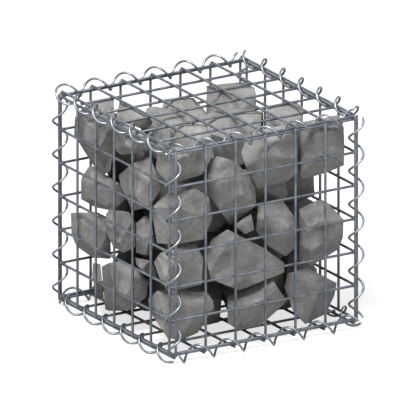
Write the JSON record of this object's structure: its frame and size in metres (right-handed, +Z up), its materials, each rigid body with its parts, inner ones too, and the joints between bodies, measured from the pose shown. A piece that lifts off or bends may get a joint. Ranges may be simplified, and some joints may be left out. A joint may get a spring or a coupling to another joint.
{
  "type": "gabion basket",
  "caption": "Cube-shaped gabion basket of welded wire mesh, laced along its edges with spiral binders and filled with broken stone.",
  "frame": {"origin": "on the ground under the middle of the basket", "axes": "+Z up, the front panel faces -Y, +X to the right of someone who looks at the front"},
  "size_m": [0.3362, 0.3362, 0.3338],
  "materials": {
    "mesh_wire": "galvanised, satin",
    "spiral_wire": "galvanised spring wire, bright satin",
    "stone": "broken grey quarry stone, rough"
  },
  "bodies": {
    "root": {"back_left_spiral": "spiral_wire", "back_rails": "mesh_wire", "back_right_spiral": "spiral_wire", "back_uprights": "mesh_wire", "base_back_spiral": "spiral_wire", "base_cross_wires": "mesh_wire", "base_front_spiral": "spiral_wire", "base_left_spiral": "spiral_wire", "base_long_wires": "mesh_wire", "base_right_spiral": "spiral_wire", "front_left_spiral": "spiral_wire", "front_rails": "mesh_wire", "front_right_spiral": "spiral_wire", "front_uprights": "mesh_wire", "left_rails": "mesh_wire", "left_uprights": "mesh_wire", "lid_back_spiral": "spiral_wire", "lid_cross_wires": "mesh_wire", "lid_front_spiral": "spiral_wire", "lid_left_spiral": "spiral_wire", "lid_long_wires": "mesh_wire", "lid_right_spiral": "spiral_wire", "right_rails": "mesh_wire", "right_uprights": "mesh_wire", "stones_bottom_back": "stone", "stones_bottom_front": "stone", "stones_bottom_left": "stone", "stones_bottom_middle": "stone", "stones_bottom_right": "stone", "stones_lower_back": "stone", "stones_lower_front": "stone", "stones_lower_left": "stone", "stones_lower_middle": "stone", "stones_lower_right": "stone", "stones_top_front": "stone", "stones_top_left": "stone", "stones_top_middle": "stone", "stones_top_right": "stone", "stones_upper_back": "stone", "stones_upper_front": "stone", "stones_upper_left": "stone", "stones_upper_middle": "stone", "stones_upper_right": "stone"}
  },
  "joints": []
}
